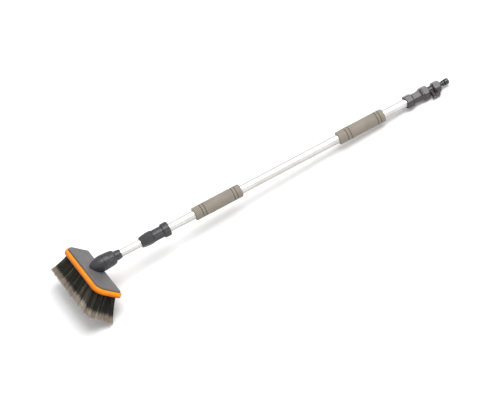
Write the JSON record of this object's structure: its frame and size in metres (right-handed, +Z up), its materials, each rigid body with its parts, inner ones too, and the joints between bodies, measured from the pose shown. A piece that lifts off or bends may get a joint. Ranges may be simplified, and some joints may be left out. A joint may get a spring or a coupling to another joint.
{
  "type": "telescopic window cleaning pole",
  "caption": "Water-fed telescopic window cleaning pole with an inclined wash brush, twist lock, foam grips, shut-off valve and push-on hose inlet.",
  "frame": {"origin": "centre of the bottom of the bounding box, on the floor that the pole lies on", "axes": "+X along the pole from the brush to the hose inlet, +Z up, brush length along Y; the pole lies on the back edge of its bristle tips and on its valve nuts"},
  "size_m": [1.0572, 0.24, 0.1051],
  "materials": {
    "bristle_fibre": "matte",
    "plate_plastic": "matte",
    "seal_rubber": "matte",
    "bumper_orange": "satin",
    "cover_grey": "satin",
    "dark_plastic": "satin",
    "valve_plastic": "satin",
    "alu_satin": "satin",
    "foam_taupe": "matte",
    "pom_white": "satin",
    "ball_chrome": "polished",
    "stem_brass": "satin",
    "screw_steel": "satin",
    "nipple_black": "gloss"
  },
  "bodies": {
    "outer_pole": {"outer_tube": "alu_satin", "grip_front": "foam_taupe", "grip_rear": "foam_taupe", "lock_body": "dark_plastic", "lock_collet": "pom_white", "lock_seal": "seal_rubber", "end_collar": "valve_plastic", "tube_end_seal": "seal_rubber", "union_washer": "seal_rubber", "valve_body": "valve_plastic", "valve_seats": "pom_white", "stem_seal": "seal_rubber", "inlet_washer": "seal_rubber", "hose_nipple": "nipple_black", "nipple_oring": "seal_rubber"},
    "piston": {"guide_bush": "pom_white", "guide_seal": "seal_rubber"},
    "inner_pole": {"inner_tube": "alu_satin", "neck_ferrule": "dark_plastic", "ferrule_seal": "seal_rubber", "neck_washer": "seal_rubber", "neck_socket": "dark_plastic", "head_cover": "cover_grey", "bumper_rim": "bumper_orange", "head_seal": "seal_rubber", "bristle_plate": "plate_plastic", "bristles": "bristle_fibre"},
    "twist_lock": {"lock_nut": "dark_plastic"},
    "neck_nut": {"head_union_nut": "dark_plastic"},
    "union_nut": {"valve_union_nut": "valve_plastic"},
    "rear_nut": {"inlet_nut": "valve_plastic"},
    "valve_key": {"valve_lever": "valve_plastic", "valve_stem": "stem_brass", "valve_ball": "ball_chrome", "lever_screw": "screw_steel"}
  },
  "joints": [
    {"name": "telescope", "type": "slide", "parent": "outer_pole", "child": "piston", "axis": [-0.9973, 0, 0.0735], "range_m": [0, 0.55]},
    {"name": "pole_turn", "type": "hinge", "parent": "piston", "child": "inner_pole", "pos_m": [0.39412, 0, 0.02294], "axis": [0.9973, 0, -0.0735], "continuous": true},
    {"name": "lock_turn", "type": "hinge", "parent": "outer_pole", "child": "twist_lock", "pos_m": [-0.30599, 0, 0.07451], "axis": [0.9973, 0, -0.0735], "range_deg": [0, 120]},
    {"name": "neck_nut_turn", "type": "hinge", "parent": "inner_pole", "child": "neck_nut", "pos_m": [-0.40572, 0, 0.08185], "axis": [0.9973, 0, -0.0735], "range_deg": [0, 300]},
    {"name": "union_nut_turn", "type": "hinge", "parent": "outer_pole", "child": "union_nut", "pos_m": [0.46293, 0, 0.01787], "axis": [0.9973, 0, -0.0735], "range_deg": [0, 300]},
    {"name": "inlet_nut_turn", "type": "hinge", "parent": "outer_pole", "child": "rear_nut", "pos_m": [0.49185, 0, 0.01574], "axis": [0.9973, 0, -0.0735], "range_deg": [0, 300]},
    {"name": "lever_turn", "type": "hinge", "parent": "outer_pole", "child": "valve_key", "pos_m": [0.47729, 0, 0.01681], "axis": [-0.027, -0.9298, -0.3671], "range_deg": [0, 90]}
  ]
}
